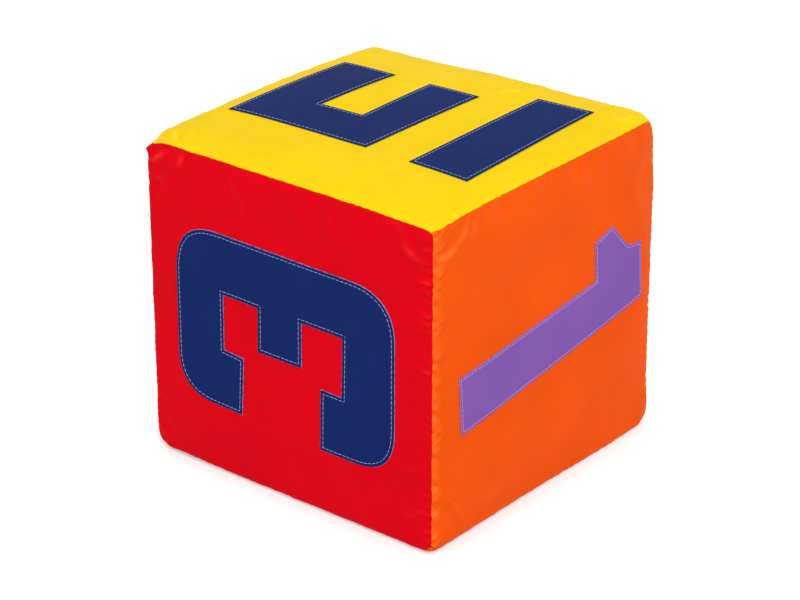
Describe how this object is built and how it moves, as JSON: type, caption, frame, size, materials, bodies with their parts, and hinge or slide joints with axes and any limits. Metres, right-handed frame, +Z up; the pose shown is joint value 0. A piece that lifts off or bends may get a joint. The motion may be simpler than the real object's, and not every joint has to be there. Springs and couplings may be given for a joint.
{
  "type": "foam dice",
  "caption": "Soft play die: a foam block in a sewn cover of bright nylon panels with large appliqué block figures, closed by a zip low on its back.",
  "frame": {"origin": "on the ground under the middle of the base", "axes": "+Z up, -Y out of the front face with the figure three, +X out of the right face with the figure one"},
  "size_m": [0.2072, 0.2076, 0.1947],
  "materials": {
    "nylon_yellow": "satin",
    "nylon_red": "satin",
    "nylon_orange": "satin",
    "nylon_purple": "satin",
    "nylon_navy": "satin",
    "foam": "matte",
    "zip_tape": "matte",
    "zip_plastic": "satin",
    "zip_metal": "satin"
  },
  "bodies": {
    "die": {"foam_core": "foam", "cover_top": "nylon_yellow", "cover_front": "nylon_red", "cover_right": "nylon_orange", "cover_left": "nylon_red", "cover_base": "nylon_orange", "cover_back": "nylon_yellow", "cover_back_strip": "nylon_yellow", "figure_five_hook": "nylon_navy", "figure_five_bar": "nylon_navy", "figure_three": "nylon_navy", "figure_one": "nylon_purple", "figure_two": "nylon_purple", "figure_six": "nylon_navy", "figure_four": "nylon_navy", "zip_tape_upper": "zip_tape", "zip_tape_lower": "zip_tape", "zip_end_stop": "zip_plastic", "zip_top_stop_upper": "zip_plastic", "zip_top_stop_lower": "zip_plastic"},
    "slider": {"zip_slider": "zip_metal"},
    "pull": {"zip_pull": "zip_metal"}
  },
  "joints": [
    {"name": "zip_travel", "type": "slide", "parent": "die", "child": "slider", "axis": [-1, 0, 0], "range_m": [0, 0.1346]},
    {"name": "pull_swing", "type": "hinge", "parent": "slider", "child": "pull", "pos_m": [0.0673, 0.10228, 0.0311], "axis": [0, 0, -1], "range_deg": [0, 170]}
  ]
}
